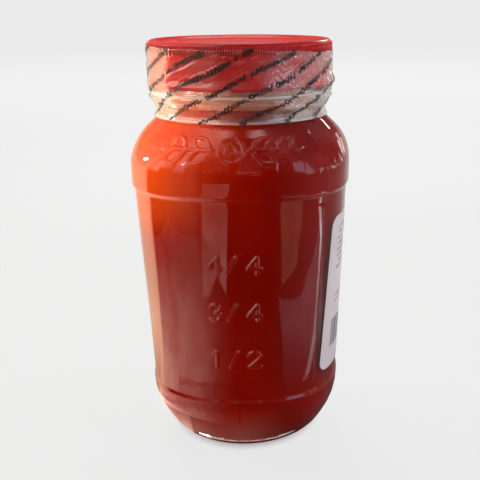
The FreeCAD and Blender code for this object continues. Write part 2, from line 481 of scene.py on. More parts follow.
LOW = by_angle(
    (-180, (0.40, 0.38, 0.34)),
    (-150, (0.90, 0.78, 0.60)),
    (-128, (1.40, 1.10, 0.78)),
    (-100, (3.60, 2.50, 1.60)),
    (-94, (3.20, 2.10, 1.30)),
    (-90, (0.12, 0.07, 0.05)),
    (-66, (0.12, 0.07, 0.05)),
    (-54, (0.40, 0.24, 0.18)),
    (-28, (0.60, 0.33, 0.25)),
    (-20, (0.10, 0.05, 0.04)),
    (-6, (0.03, 0.015, 0.012)),
    (18, (0.03, 0.012, 0.01)),
    (40, (0.12, 0.10, 0.10)),
    (84, (0.30, 0.28, 0.28)),
    (92, (0.36, 0.32, 0.32)),
    (118, (0.36, 0.33, 0.33)),
    (140, (0.50, 0.48, 0.48)),
    (155, (0.70, 0.70, 0.66)),
    (180, (0.40, 0.38, 0.34)),
)
SKY = by_angle(
    (-180, (0.14, 0.13, 0.13)),
    (-120, (1.00, 0.80, 0.66)),
    (-80, (3.60, 2.80, 2.35)),
    (-46, (3.70, 2.80, 2.45)),
    (-20, (0.40, 0.32, 0.30)),
    (15, (0.08, 0.07, 0.08)),
    (60, (0.25, 0.26, 0.34)),
    (110, (0.32, 0.32, 0.40)),
    (155, (0.24, 0.16, 0.15)),
    (178, (0.16, 0.14, 0.14)),
)


print("colours at", len(LOW), "angles near the ground and", len(SKY), "in the sky")

# %% The dome itself
DOME_RADIUS = 1.6


def hide_from_all_but_reflections(obj):
    obj.visible_camera = False
    obj.visible_diffuse = False
    obj.visible_shadow = False
    obj.visible_transmission = False
    obj.visible_volume_scatter = False


ground = [(0.028, 0.0004), (0.05, 0.0008), (DOME_RADIUS, 0.0008)]
bowl = [(DOME_RADIUS * math.cos(a), DOME_RADIUS * math.sin(a)) for a in np.radians(np.arange(2, 90, 4))]
dome = disc_mesh("reflection_dome", [*ground, *bowl, (0.001, DOME_RADIUS)])
dome.data.materials.append(dome_material("reflection dome", LOW, SKY))
hide_from_all_but_reflections(dome)
print("dome", len(dome.data.polygons), "faces")

# %% [markdown]
# ## Cards on the ground
# The lower half of the jar looks down, so it reflects the ground. Flat cards lie there, and again only reflections
# see them: a bright field at the left, a pale strip left of the middle, a brown strip, a bluish field and a thin
# bright line at the right, and two rings close to the foot that lift its dark edge. Each card adds its light to what
# lies behind it, and goes from one colour near the jar to another further out.

# %% A card
CARD_HEIGHT = 0.0015


def make_card(name, outline, near, far, fade_from, fade_to, soft_sides=None):
    """A card on the ground. Its colour goes from near to far as the distance from the jar grows."""
    points = [(x, y, CARD_HEIGHT) for x, y in outline]
    card = mesh_object(name, points, [tuple(range(len(outline)))], smooth=False)
    material, tree = new_material(name)
    place = object_place(tree)
    colour = mix_colours(smooth_step(distance(place), fade_from, fade_to), near, far)
    strength = smooth_step(noise(place, 22.0, 2.0), 0.3, 0.7) * 0.5 + 0.75
    if soft_sides:
        strength = strength * soft_band(around(place) * 180, *soft_sides)
    shine = node(tree, "ShaderNodeVectorMath", {"operation": "SCALE"}, {0: colour, "Scale": strength})
    glow = node(tree, "ShaderNodeEmission", {}, {"Color": shine, "Strength": 1.0})
    behind = node(tree, "ShaderNodeBsdfTransparent")
    finish_material(tree, node(tree, "ShaderNodeAddShader", {}, {0: glow, 1: behind}))
    card.data.materials.append(material)
    hide_from_all_but_reflections(card)


def polar(*points):
    """Points on the ground from (angle, distance): the angle is 0 in front and 90 towards +X."""
    return [(r * math.sin(math.radians(a)), -r * math.cos(math.radians(a))) for a, r in points]


def ring_patch(first, last, near, far):
    """A piece of a ring between two angles and two distances."""
    turn = range(first, last + 1, 15)
    return polar(*[(a, near) for a in turn], *[(a, far) for a in reversed(turn)])


print("cards lie", CARD_HEIGHT / MM, "mm above the floor")

# %% The cards
left_edge = [(a, 0.048) for a in range(-120, 1, 20)]
left_field = polar(*left_edge, (0, 0.17), (-20, 0.30), (-60, 0.34), (-120, 0.34))
left_sides, foot_sides = (-104, -84, -52, -3), (-75, -50, -5, 45)
pale_strip = polar((-26, 0.195), (-19, 0.56), (-6.3, 0.56), (-9.6, 0.20), (-14, 0.235), (-19, 0.20))
brown_strip = polar((29, 0.205), (24, 0.40), (55, 0.41), (46, 0.235))
right_field = polar((27, 0.19), (55, 0.185), (80, 0.30), (95, 0.30), (100, 0.05), (40, 0.05), (34, 0.13))
line_out = [(58, 0.095), (77, 0.14), (84, 0.28), (79, 0.37)]
line_back = [(84, 0.37), (89, 0.28), (83, 0.14), (65, 0.095)]
foot_ring, heel_ring = ring_patch(-60, 90, 0.034, 0.10), ring_patch(-165, -45, 0.030, 0.062)
BLACK = (0.0, 0.0, 0.0)
make_card("left_ground_card", left_field, (2.8, 1.8, 1.45), (0.40, 0.28, 0.23), 0.06, 0.28, left_sides)
make_card("foot_ground_card", foot_ring, (0.70, 0.36, 0.28), BLACK, 0.040, 0.078, foot_sides)
make_card("heel_ground_card", heel_ring, (1.2, 0.72, 0.58), BLACK, 0.045, 0.061)
make_card("middle_strip_card", pale_strip, (1.5, 1.1, 0.95), (0.8, 0.55, 0.45), 0.2, 0.4)
make_card("brown_strip_card", brown_strip, (0.8, 0.40, 0.24), (0.8, 0.42, 0.26), 0.2, 0.4)
make_card("thin_line_card", polar(*line_out, *line_back), (1.5, 1.3, 1.25), (5.0, 4.6, 4.5), 0.15, 0.3)
make_card("right_ground_card", right_field, (0.04, 0.03, 0.04), (0.42, 0.39, 0.44), 0.09, 0.17)

# %% Sky light and colour view


def make_world():
    world = bpy.data.worlds.new("studio")
    world.use_nodes = True
    background = world.node_tree.nodes["Background"]
    background.inputs["Color"].default_value = (0.50, 0.50, 0.52, 1)
    background.inputs["Strength"].default_value = 0.12
    bpy.context.scene.world = world


make_world()
bpy.context.scene.view_settings.view_transform = "Standard"
print("view", bpy.context.scene.view_settings.view_transform)

# %% [markdown]
# ## Outlines
# Glass, lid and film are all built round one upright axis. Such a piece starts as an outline: a few corners of
# (radius, height), each with the radius of its rounding. This function turns corners into a smooth line of points.

# %% Rounded outlines


def rounded(corners, turn_deg=6.0):
    """Points along (radius, height, rounding) corners in millimetres, with an arc at each rounded corner."""
    points = [np.array(c[:2], float) for c in corners]
    line = [points[0]]
    for before, at, after, corner in zip(points, points[1:], points[2:], corners[1:]):
        back = (before - at) / np.linalg.norm(before - at)
        on = (after - at) / np.linalg.norm(after - at)
        opening = math.acos(np.clip(back @ on, -1, 1))
        if corner[2] > 0 and opening < math.pi - 1e-4:
            middle = (back + on) / np.linalg.norm(back + on)
            centre = at + middle * corner[2] / math.sin(opening / 2)
            start = at + back * corner[2] / math.tan(opening / 2) - centre
            sweep = math.pi - opening
            side = 1 if back[0] * on[1] - back[1] * on[0] < 0 else -1
            steps = max(2, math.ceil(math.degrees(sweep) / turn_deg))
            for i in range(steps + 1):
                a = side * sweep * i / steps
                turned = (
                    start[0] * math.cos(a) - start[1] * math.sin(a),
                    start[0] * math.sin(a) + start[1] * math.cos(a),
                )
                line.append(centre + turned)
        else:
            line.append(at)
    line.append(points[-1])
    kept = [line[0]]
    for point in line[1:]:
        if np.linalg.norm(point - kept[-1]) > 1e-4:
            kept.append(point)
    return np.array(kept)


def refined(line, longest):
    """The same line with extra points, so that no step is longer than longest(height)."""
    points = [line[0]]
    for start, end in zip(line, line[1:]):
        length = np.linalg.norm(end - start)
        gone = 0.0
        while gone < length:
            here = start + (end - start) * gone / length
            step = longest(here[1])
            gone = length if gone + 1.3 * step > length else gone + step
            points.append(start + (end - start) * gone / length)
    return np.array(points)


def normals_of(line):
    """The direction that points away from the line's left-hand side, at each of its points."""
    along = np.gradient(line, axis=0)
    along /= np.linalg.norm(along, axis=1)[:, None]
    return np.stack([along[:, 1], -along[:, 0]], axis=1)


print("a square corner of 5 mm becomes", len(rounded([(0, 0, 0), (9, 0, 5), (9, 9, 0)])), "points")

# %% [markdown]
# ## The jar's cross-section
# The jar is round at its foot and neck, and between them it is softly square: four bowed sides with wide corners. One
# number gives how far the corners stand out at each height, and a cosine that turns four times spreads it round.

# %% Squareness
SQUARENESS = [(6.4, 0.0), (28.0, 0.05), (115.5, 0.09), (126.0, 0.09), (143.5, 0.0)]


def squareness(z):
    """How far a corner stands out at each height in millimetres, as a share of the side's radius."""
    total = np.zeros_like(z)
    for (z0, s0), (z1, s1) in zip(SQUARENESS, SQUARENESS[1:]):
        t = np.clip((z - z0) / (z1 - z0), 0, 1)
        total += (s1 - s0) * t * t * (3 - 2 * t)
    return total


def corner_factor(angles, z):
    """The factor on the radius at each height (rows) and angle (columns). Angle 0 is the front, 90 is +X."""
    return 1 + squareness(z)[:, None] * (1 - np.cos(4 * angles))[None, :] / 2


print("a corner stands out by", squareness(np.array([60.0, 100.0, 120.0])).round(3), "of the radius")

# %% The lathe


def ring_points(radii, heights, angles):
    """Points in metres at radii and heights in millimetres. Angle 0 is the front, -Y, and 90 is +X."""
    x, y, z = np.broadcast_arrays(radii * np.sin(angles), -radii * np.cos(angles), heights)
    return np.stack([x, y, z], axis=2) * MM


def lathe(name, line, angles, square=True, raise_by=None):
    """A mesh from an outline in millimetres. raise_by is a height to add outwards, for each row and column."""
    radii, heights = line[:, 0], line[:, 1]
    outwards = normals_of(line)
    extra = np.zeros((len(line), len(angles))) if raise_by is None else raise_by
    factor = corner_factor(angles, heights) if square else 1.0
    r = radii[:, None] * factor + extra * outwards[:, :1]
    z = heights[:, None] + extra * outwards[:, 1:]
    first_pole, last_pole = radii[0] < 1e-6, radii[-1] < 1e-6
    rows = ring_points(r, z, angles)[int(first_pole):len(line) - int(last_pole)]
    sides = len(angles)
    faces = ring_faces(len(rows), sides)
    index = np.arange(len(rows) * sides).reshape(-1, sides)
    nxt = np.roll(index, -1, axis=1)
    points = rows.reshape(-1, 3)
    if first_pole:
        faces += np.stack([np.full(sides, len(points)), nxt[0], index[0]], axis=1).tolist()
        points = np.vstack([points, [[0, 0, heights[0] * MM]]])
    if last_pole:
        faces += np.stack([np.full(sides, len(points)), index[-1], nxt[-1]], axis=1).tolist()
        points = np.vstack([points, [[0, 0, heights[-1] * MM]]])
    if not first_pole and not last_pole:
        faces += np.stack([index[-1], nxt[-1], nxt[0], index[0]], axis=1).tolist()
    return mesh_object(name, points.tolist(), faces)


def report(obj):
    triangles = sum(len(p.vertices) - 2 for p in obj.data.polygons)
    corners = [obj.matrix_world @ Vector(c) for c in obj.bound_box]
    size = [round((max(c[i] for c in corners) - min(c[i] for c in corners)) / MM, 1) for i in range(3)]
    print(f"{obj.name}: {triangles} triangles, {size} mm")


EVEN = np.radians(np.arange(0, 360, 1.5))
print("a full turn has", len(EVEN), "columns")

# %% [markdown]
# ## Raised figures on the glass
# Moulded glass has its marks in relief: soft ridges about a millimetre wide. Each figure here is a few strokes, and
# the glass rises where a point is near a stroke. The numbers are measuring marks, for one, three quarters and one
# half, and the row of leaves on the shoulder is plain ornament.

# %% Strokes


def arc(x, y, radius, start_deg, end_deg, steps=14):
    angles = np.radians(np.linspace(start_deg, end_deg, steps))
    return np.stack([x + radius * np.cos(angles), y + radius * np.sin(angles)], axis=1)


def stroke(*points):
    return np.array(points, float)


MARK_WIDEN = 1.15
DIGITS = {
    "1": [stroke((0.05, 0.80), (0.27, 1.0), (0.27, 0.0))],
    "2": [np.vstack([arc(0.31, 0.70, 0.29, 165, -35), stroke((0.03, 0.02), (0.62, 0.02))])],
    "3": [arc(0.29, 0.75, 0.25, 150, -85), arc(0.29, 0.26, 0.27, 85, -155)],
    "4": [stroke((0.48, 0.0), (0.48, 1.0), (0.0, 0.30), (0.64, 0.30))],
    "/": [stroke((0.0, 0.0), (0.42, 1.0))],
}


def write(text, size, advance):
    """The strokes of some digits, centred on 0: size millimetres high and advance millimetres apart."""
    strokes = []
    for i, sign in enumerate(text):
        x = (i - (len(text) - 1) / 2) * advance - 0.31 * size * MARK_WIDEN
        strokes += [s * (size * MARK_WIDEN, size) + (x, -size / 2) for s in DIGITS[sign]]
    return strokes


print("digits", *DIGITS)

# %% The branch and the ridges


def leaf(x, y, length, lean_deg):
    """The outline of a leaf that starts at (x, y)."""
    t = np.linspace(0, 1, 11)
    bulge = 0.25 * length * np.sin(np.pi * t)
    outline = np.vstack([np.stack([t * length, bulge], 1), np.stack([t * length, -bulge], 1)[::-1]])
    lean = math.radians(lean_deg)
    turn = np.array([[math.cos(lean), math.sin(lean)], [-math.sin(lean), math.cos(lean)]])
    return outline @ turn + (x, y)


def leaf_branch():
    """A ring in the middle and two pairs of leaves to each side of it."""
    right = [stroke((7.0, 0.0), (28.0, 0.0))]
    for i in range(2):
        right.append(leaf(8.2 + 10.2 * i, 0.0, 9.6, 32))
        right.append(leaf(8.2 + 10.2 * i, 0.0, 9.6, -32))
    left = [s * (-1, 1) for s in right]
    return right + left + [arc(0, 0, 5.0, 0, 360, 30), arc(0, 0, 2.2, 0, 360, 18)]


def ridge(u, v, strokes, half_width, height):
    """The height of soft ridges along strokes, at each point (u, v) in millimetres."""
    nearest = np.full(u.shape, 1e9)
    for line in strokes:
        for a, b in zip(line, line[1:]):
            ab = b - a
            t = np.clip(((u - a[0]) * ab[0] + (v - a[1]) * ab[1]) / max(ab @ ab, 1e-9), 0, 1)
            nearest = np.minimum(nearest, (u - a[0] - t * ab[0]) ** 2 + (v - a[1] - t * ab[1]) ** 2)
    near = np.clip((1.45 - np.sqrt(nearest) / half_width) / 0.9, 0, 1)
    return height * near * near * (3 - 2 * near)


print("a branch has", len(leaf_branch()), "strokes")

# %% [markdown]
# ## The glass
# One closed wall: up the outside, over the mouth and down the inside. A lathe of points is the sure way to get clean,
# smooth glass, because every ridge and rounding in the reflection comes from the mesh. The columns lie closer where
# the figures are, so that the ridges are real relief and the rest stays light. A mould opens in two halves, and each
# of its two joints leaves a fine upright seam on the glass, here 47 degrees to the right of the front and opposite.

# %% The outside of the glass
PUNT_HEIGHT, PUNT_RADIUS = 3.6, 21.5
WALL = 3.0
MOUTH_RADIUS = 31.3
PANEL_LOW, PANEL_HIGH = 28.7, 116.2
PANEL_LOW_RADIUS, PANEL_HIGH_RADIUS = 41.8, 45.7
HEEL_RADIUS = 42.35
SHOULDER_RADIUS, SHOULDER_Z = 47.0, 134.4
NECK_RADIUS, NECK_LOW, NECK_HIGH = 34.9, 146.0, 149.6
BEAD_RADIUS, BEAD_LOW, BEAD_HIGH = 38.1, 152.2, 157.3
FINISH_RADIUS = 36.1

OUTSIDE = [
    (0, PUNT_HEIGHT, 0),
    (PUNT_RADIUS * 0.8, PUNT_HEIGHT * 0.75, 8.0),
    (PUNT_RADIUS, 0, 2.0),
    (31.8, 0, 13.4),
    (HEEL_RADIUS, 17.0, 33.2),
    (PANEL_LOW_RADIUS + 0.55, PANEL_LOW - 1.5, 1.2),
    (PANEL_LOW_RADIUS, PANEL_LOW, 1.2),
    (PANEL_HIGH_RADIUS, PANEL_HIGH, 2.0),
    (SHOULDER_RADIUS - 0.2, PANEL_HIGH + 1.5, 2.2),
    (SHOULDER_RADIUS, SHOULDER_Z, 19.8),
    (NECK_RADIUS, NECK_LOW, 3.2),
    (NECK_RADIUS, NECK_HIGH, 1.6),
    (BEAD_RADIUS, BEAD_LOW, 1.6),
    (BEAD_RADIUS, BEAD_HIGH, 1.2),
    (FINISH_RADIUS, BEAD_HIGH, 0.5),
    (FINISH_RADIUS, GLASS_TOP, 0.9),
    (MOUTH_RADIUS, GLASS_TOP, 0.9),
]


print("the outside has", len(OUTSIDE), "corners")

# %% The inside of the glass, and the columns


def inside_corners():
    """The inner outline, from the middle of the floor up to the neck."""
    floor_z = PUNT_HEIGHT + 5.6
    heel = HEEL_RADIUS - 1.25 * WALL
    rise = (NECK_LOW - SHOULDER_Z) / (SHOULDER_RADIUS - NECK_RADIUS)
    shoulder = SHOULDER_RADIUS - WALL - 0.4
    shoulder_z = SHOULDER_Z - WALL * math.hypot(1, rise) + rise * (WALL + 0.4)
    return [
        (0, floor_z, 0),
        (PUNT_RADIUS * 0.8, floor_z - 1.3, 30.0),
        (heel - 4.5, floor_z - 3.0, 10.8),
        (heel, 19.5, 12.8),
        (PANEL_LOW_RADIUS - WALL, PANEL_LOW + 2, 20.0),
        (PANEL_HIGH_RADIUS - WALL - 0.1, PANEL_HIGH - 2, 20.0),
        (shoulder, shoulder_z, 16.6),
        (MOUTH_RADIUS, shoulder_z + rise * (shoulder - MOUTH_RADIUS), 5.0),
    ]


def columns(dense_deg, dense_step, middle_deg, middle_step, far_step):
    """Angles round the jar, close together at the front and further apart behind."""
    half = list(np.arange(0, dense_deg, dense_step))
    half += list(np.arange(dense_deg, middle_deg, middle_step))
    half += list(np.linspace(middle_deg, 180, round((180 - middle_deg) / far_step) + 1))
    return np.radians(np.array([-a for a in half[-2:0:-1]] + half))


print("the inside has", len(inside_corners()), "corners")

# %% Raised marks, placed on the outline
MARK_HEIGHTS = {"4/4": 89.7, "3/4": 69.1, "1/2": 47.9}
MARK_SIZE, MARK_ADVANCE = 6.9, 8.0
MARK_HALF_WIDTH, MARK_RELIEF = 0.66, 0.80
BRANCH_Z = 136.2
BRANCH_HALF_WIDTH, BRANCH_RELIEF = 0.62, 0.70
BRANCH_REACH = 8.0
SEAM_RELIEF, SEAM_HALF_WIDTH, SEAM_LOW = 0.12, 0.5, 3.0
SEAMS = np.radians((47.0, 47.0 - 180.0))
FRONT_RADIUS = 44.5


def marks_on(line, angles):
    """The height of all raised marks, at each row and column of the glass."""
    raised = np.zeros((len(line), len(angles)))
    u = np.broadcast_to(angles * FRONT_RADIUS, raised.shape)
    height = np.broadcast_to(line[:, 1:], raised.shape)
    for text, z in MARK_HEIGHTS.items():
        rows = np.abs(line[:, 1] - z) < MARK_SIZE
        strokes = write(text, MARK_SIZE, MARK_ADVANCE)
        raised[rows] += ridge(u[rows], height[rows] - z, strokes, MARK_HALF_WIDTH, MARK_RELIEF)
    for seam in SEAMS:
        near_seam = np.clip(1 - np.abs(angles - seam) * FRONT_RADIUS / SEAM_HALF_WIDTH, 0, 1)
        raised += SEAM_RELIEF * near_seam[None, :] * (height > SEAM_LOW) * (height < NECK_LOW)
    run = np.concatenate([[0], np.cumsum(np.linalg.norm(np.diff(line, axis=0), axis=1))])
    on_outside = line[:, 0] >= MOUTH_RADIUS + 2
    run -= run[np.argmin(np.abs(line[:, 1] - BRANCH_Z) + 100 * ~on_outside)]
    rows = np.abs(run) < BRANCH_REACH
    across_rows = np.broadcast_to(run[:, None], raised.shape)[rows]
    raised[rows] += ridge(u[rows], across_rows, leaf_branch(), BRANCH_HALF_WIDTH, BRANCH_RELIEF)
    return raised


print("raised marks at", MARK_HEIGHTS, "and", BRANCH_Z)

# %% The glass wall
MARK_ZONE_HALF = MARK_SIZE * 0.66
BRANCH_ZONE_MIDDLE, BRANCH_ZONE_HALF = 137.3, 5.7
DENSE_STEP, LOOSE_STEP = 0.28, 2.6


def row_spacing(z):
    """How far apart the rows may be: close in the relief, and never a step into it from further away."""
    outside = [abs(z - mark) - MARK_ZONE_HALF for mark in MARK_HEIGHTS.values()]
    outside.append(abs(z - BRANCH_ZONE_MIDDLE) - BRANCH_ZONE_HALF)
    return min(LOOSE_STEP, max(DENSE_STEP, min(outside)))


def make_glass():
    outer = refined(rounded(OUTSIDE, 9.0), row_spacing)
    inner_line = rounded(inside_corners() + [(MOUTH_RADIUS, GLASS_TOP - 3, 0)], 9.0)
    inner = refined(inner_line, lambda z: 6.0)[::-1]
    angles = columns(dense_deg=15.0, dense_step=0.35, middle_deg=37.0, middle_step=0.52, far_step=3.4)
    for seam in SEAMS:
        angles = np.union1d(angles, np.round(seam + np.radians(np.arange(-1.2, 1.3, 0.3)), 6))
    print("glass:", len(outer), "rows outside,", len(inner), "inside,", len(angles), "columns")
    raised = np.vstack([marks_on(outer, angles), np.zeros((len(inner), len(angles)))])
    glass = lathe("glass_jar", np.vstack([outer, inner]), angles, raise_by=raised)
    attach(glass, "root")
    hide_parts("jar")
    return glass


glass = make_glass()
report(glass)

# %% [markdown]
# Glass that light can't pass costs a renderer many samples, so lamps are let through it: for the rays that look for a
# lamp, the material is simply clear. The rest is a plain refractive glass with a very slight green, and a faint
# unevenness, which bends reflections as moulded glass does. The thick foot shows the colour of the sauce above it,
# and the last few millimetres are also tinted red: a painted reflection of the sauce. The fine ribs that it stands
# on are a sine wave in the bump.

# %% Clear glass
FOOT_RIBS = 130
FOOT_PAINTED_SAUCE_RED = (0.62, 0.20, 0.16)
SLIGHT_GREEN = (0.975, 0.99, 0.98)


def let_lamps_through(tree, surface, clear_colour):
    """The same surface, but clear to the rays that look for a lamp."""
    shadow_ray = node(tree, "ShaderNodeLightPath", output="Is Shadow Ray")
    clear = node(tree, "ShaderNodeBsdfTransparent", {}, {"Color": clear_colour})
    return node(tree, "ShaderNodeMixShader", {}, {0: shadow_ray, 1: surface, 2: clear})


def glass_material():
    material, tree = new_material("moulded glass")
    place = object_place(tree)
    x, y, z = parts(place)
    ribs = (x.maths("ARCTAN2", y) * FOOT_RIBS).maths("SINE") * soft_band(z, 0.0002, 0.0008, 0.0042, 0.0052)
    bump = bumps(noise(place, 38.0, 1.0) * 0.00022 + ribs * 0.00010, 0.6)
    # The red at the foot is a painted reflection of the sauce, not a colour of the glass.
    tint = mix_colours(smooth_step(z, 0.0035, 0.0085), FOOT_PAINTED_SAUCE_RED, SLIGHT_GREEN)
    surface = node(tree, "ShaderNodeBsdfPrincipled", {}, {
        "Base Color": tint,
        "Roughness": 0.02,
        "IOR": 1.5,
        "Transmission Weight": 1.0,
        "Normal": bump,
    })
    finish_material(tree, let_lamps_through(tree, surface, (0.92, 0.93, 0.92)))
    return material


glass.data.materials.append(glass_material())
print("glass material on", glass.name)

# %% [markdown]
# ## The sauce
# The sauce fills the glass and reaches a third of a millimetre into its wall, so that glass and sauce touch with no
# air between them. Near the glass it creeps up a little. Real sauce is cloudy: light goes in, spreads and comes out
# redder, which is what subsurface scattering does, with red travelling furthest. Behind glass a sauce has no gloss
# of its own, because the two touch, so its specular level is zero and every highlight comes from the glass. The upper
# part is painted lighter and more orange towards the side where the warm lamp enters, with soft ragged borders: a
# painted glow of that lamp.

# %% The sauce's body
SAUCE_REACH = 0.3


def make_sauce():
    wall = rounded(inside_corners() + [(MOUTH_RADIUS, SAUCE_TOP, 0)])
    wall = wall + normals_of(wall) * SAUCE_REACH
    wall[0, 0] = 0.0
    creep = rounded([
        (MOUTH_RADIUS + SAUCE_REACH, SAUCE_TOP + 1.4, 0),
        (MOUTH_RADIUS - 0.6, SAUCE_TOP + 0.9, 0.4),
        (MOUTH_RADIUS - 2.4, SAUCE_TOP, 2.0),
        (0, SAUCE_TOP - 0.2, 0),
    ])
    line = refined(np.vstack([wall[:-1], creep]), lambda z: 2.0)
    sauce = lathe("sauce_body", line, EVEN)
    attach(sauce, "root")
    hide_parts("sauce")
    return sauce


sauce = make_sauce()
report(sauce)

# %% The sauce's colour


def sauce_material():
    material, tree = new_material("barbecue sauce")
    place = object_place(tree)
    x, _, z = parts(place)
    clouds = noise(place, 16.0, 3.0)
    streaks = noise(stretched(place, 0.22), 70.0, 2.0)
    ragged = clouds * 0.03 - 0.015
    to_left = x * -1 + ragged
    # upper and the band below it are a painted glow of the warm lamp: lighter, more orange colour high up at the
    # left.
    upper = smooth_step(z + ragged, 0.108, 0.145) * smooth_step(to_left, -0.014, 0.016)
    lower_painted_glow = smooth_step(z + ragged, 0.094, 0.114) * smooth_step(to_left, 0.006, 0.030)
    share = smooth_step(clouds * 0.7 + streaks * 0.3, 0.35, 0.65)
    colour = mix_colours(share, (0.30, 0.005, 0.0004), (0.36, 0.008, 0.0007))
    colour = mix_colours(upper * 0.75, colour, (0.55, 0.050, 0.0028))
    colour = mix_colours(lower_painted_glow * 0.85, colour, (0.50, 0.062, 0.0024))
    surface = node(tree, "ShaderNodeBsdfPrincipled", {}, {
        "Base Color": colour,
        "Roughness": 0.35,
        "IOR": 1.38,
        "Specular IOR Level": 0.0,
        "Subsurface Weight": 1.0,
        "Subsurface Radius": (1.0, 0.14, 0.05),
        "Subsurface Scale": 0.020,
    })
    finish_material(tree, surface)
    return material


sauce.data.materials.append(sauce_material())
print("sauce material on", sauce.name)

# %% [markdown]
# Above the level, a thin coat of sauce clings to the inside of the neck. It is a sheet just inside the glass, and its
# material lets more and more light through where the coat has run off, in level streaks.

# %% The coat on the neck
COAT_GAP = 0.12


def make_coat():
    heights = np.linspace(SAUCE_TOP - 0.6, GLASS_TOP - 4.0, 14)
    points = ring_points(MOUTH_RADIUS - COAT_GAP, heights[:, None], EVEN)
    coat = mesh_object("neck_coat", points.reshape(-1, 3).tolist(), ring_faces(*points.shape[:2]))
    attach(coat, "root")
    return coat


def coat_material():
    material, tree = new_material("clinging sauce")
    place = object_place(tree)
    cover = smooth_step(noise(stretched(place, 9.0), 28.0, 4.0), 0.36, 0.66)
    colour = mix_colours(cover, (0.80, 0.21, 0.07), (0.50, 0.09, 0.03))
    body = node(tree, "ShaderNodeBsdfPrincipled", {}, {
        "Base Color": colour, "Roughness": 0.3, "Alpha": cover * 0.35 + 0.60,
    })
    finish_material(tree, body)
    return material


coat = make_coat()
coat.data.materials.append(coat_material())
report(coat)

# %% [markdown]
# ## The lid
# A one-piece lid pressed from lacquered sheet: a raised rim round a sunk panel, fine grip ribs, the swelling of the
# thread in the skirt and a rolled lower edge. The body is a lathe with the thread's two turns raised on it.

# %% The lid's body
RIM_RADIUS, SKIRT_RADIUS, CURL_RADIUS = 39.15, 38.7, 39.35
BAND_HEIGHT = 4.5
RIB_DEPTH = 0.38
THREAD_PITCH, THREAD_RELIEF, THREAD_HALF_WIDTH = 5.1, 0.28, 1.8


def lid_outline():
    panel = LID_TOP - 1.1
    rim = RIM_RADIUS - 3.85
    band = LID_TOP - BAND_HEIGHT
    inner = SKIRT_RADIUS - 0.4
    return [
        (0, panel - 0.4, 0),
        (rim, panel - 0.4, 0.2),
        (rim + 0.3, LID_TOP - 0.4, 0.2),
        (inner, LID_TOP - 0.4, 0.9),
        (inner, LID_BOTTOM, 0.15),
        (CURL_RADIUS - 0.3, LID_BOTTOM, 0.25),
        (CURL_RADIUS, LID_BOTTOM + 0.9, 0.9),
        (CURL_RADIUS - 0.25, LID_BOTTOM + 2.0, 0.5),
        (SKIRT_RADIUS - 0.25, LID_BOTTOM + 2.8, 0.5),
        (SKIRT_RADIUS - 0.2, band - 1.0, 0.5),
        (RIM_RADIUS - RIB_DEPTH, band, 0.3),
        (RIM_RADIUS - RIB_DEPTH, LID_TOP - 1.4, 0.4),
        (RIM_RADIUS - 1.3, LID_TOP - 0.1, 1.2),
        (rim + 1.4, LID_TOP - 0.02, 0.8),
        (rim + 0.2, LID_TOP - 0.35, 0.5),
        (rim - 0.9, panel, 0.6),
        (26.5, panel, 1.5),
        (25.6, panel - 0.25, 1.0),
        (0, panel - 0.3, 0),
    ]


print("the lid's outline has", len(lid_outline()), "corners")

# %% The thread and the lid


def thread_swelling(line, angles):
    """The soft spiral that the thread presses into the skirt."""
    z = line[:, 1:]
    skirt = (line[:, :1] > SKIRT_RADIUS - 0.35) & (z > LID_BOTTOM + 2.9) & (z < LID_TOP - BAND_HEIGHT - 0.8)
    above_start = z - (LID_BOTTOM + 5.0) - THREAD_PITCH * (angles / (2 * np.pi))[None, :]
    away = np.abs((above_start + THREAD_PITCH / 2) % THREAD_PITCH - THREAD_PITCH / 2)
    return np.where(skirt, THREAD_RELIEF * np.clip(1 - away / THREAD_HALF_WIDTH, 0, 1) ** 1.5, 0.0)


def make_lid():
    line = refined(rounded(lid_outline()), lambda z: 0.6 if z < LID_TOP - BAND_HEIGHT else 1.6)
    lid = lathe("screw_lid", line, EVEN, square=False, raise_by=thread_swelling(line, EVEN))
    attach(lid, "root")
    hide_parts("lid")
    return lid


lid = make_lid()
report(lid)

# %% [markdown]
# The grip ribs repeat hundreds of times round the rim, which is work for Geometry Nodes: a circle of points with one
# small upright cylinder on each, half sunk into the rim. The tree has named inputs for the count and the sizes, so a
# lid with coarser ribs needs one number changed.

# %% Helpers for Geometry Nodes


def new_tree(name, sizes):
    """A geometry tree with a named input for each size, and the wires that those inputs give."""
    tree = bpy.data.node_groups.new(name, "GeometryNodeTree")
    tree.interface.new_socket("Geometry", in_out="OUTPUT", socket_type="NodeSocketGeometry")
    for title, value in sizes.items():
        kind = "NodeSocketInt" if isinstance(value, int) else "NodeSocketFloat"
        tree.interface.new_socket(title, in_out="INPUT", socket_type=kind).default_value = value
    given = tree.nodes.new("NodeGroupInput")
    return tree, {title: Wire(tree, given.outputs[title]) for title in sizes}


def finish_tree(tree, geometry, material):
    """Ends a tree: the instances become real mesh, and it all gets its material."""
    real = node(tree, "GeometryNodeRealizeInstances", {}, {"Geometry": geometry})
    painted = node(tree, "GeometryNodeSetMaterial", {}, {"Geometry": real, "Material": material})
    tree.links.new(painted.socket, tree.nodes.new("NodeGroupOutput").inputs[0])


def run_tree(name, tree, sizes):
    """The tree's result as a plain mesh. Its inputs are set by identifier, before the first evaluation."""
    obj = mesh_object(name, [], [])
    modifier = obj.modifiers.new("nodes", "NODES")
    modifier.node_group = tree
    for item in tree.interface.items_tree:
        if item.item_type == "SOCKET" and item.in_out == "INPUT":
            modifier[item.identifier] = sizes[item.name]
    shown = obj.evaluated_get(bpy.context.evaluated_depsgraph_get())
    obj.data = bpy.data.meshes.new_from_object(shown)
    obj.data.name = name
    obj.modifiers.clear()
    return obj


print("geometry helpers ready")

# %% Grip ribs
RIB_SIZES = {
    "Count": 240,
    "Radius": RIM_RADIUS * MM,
    "Depth": RIB_DEPTH * MM,
    "Height": 3.3 * MM,
    "Level": (LID_TOP - 3.05) * MM,
}


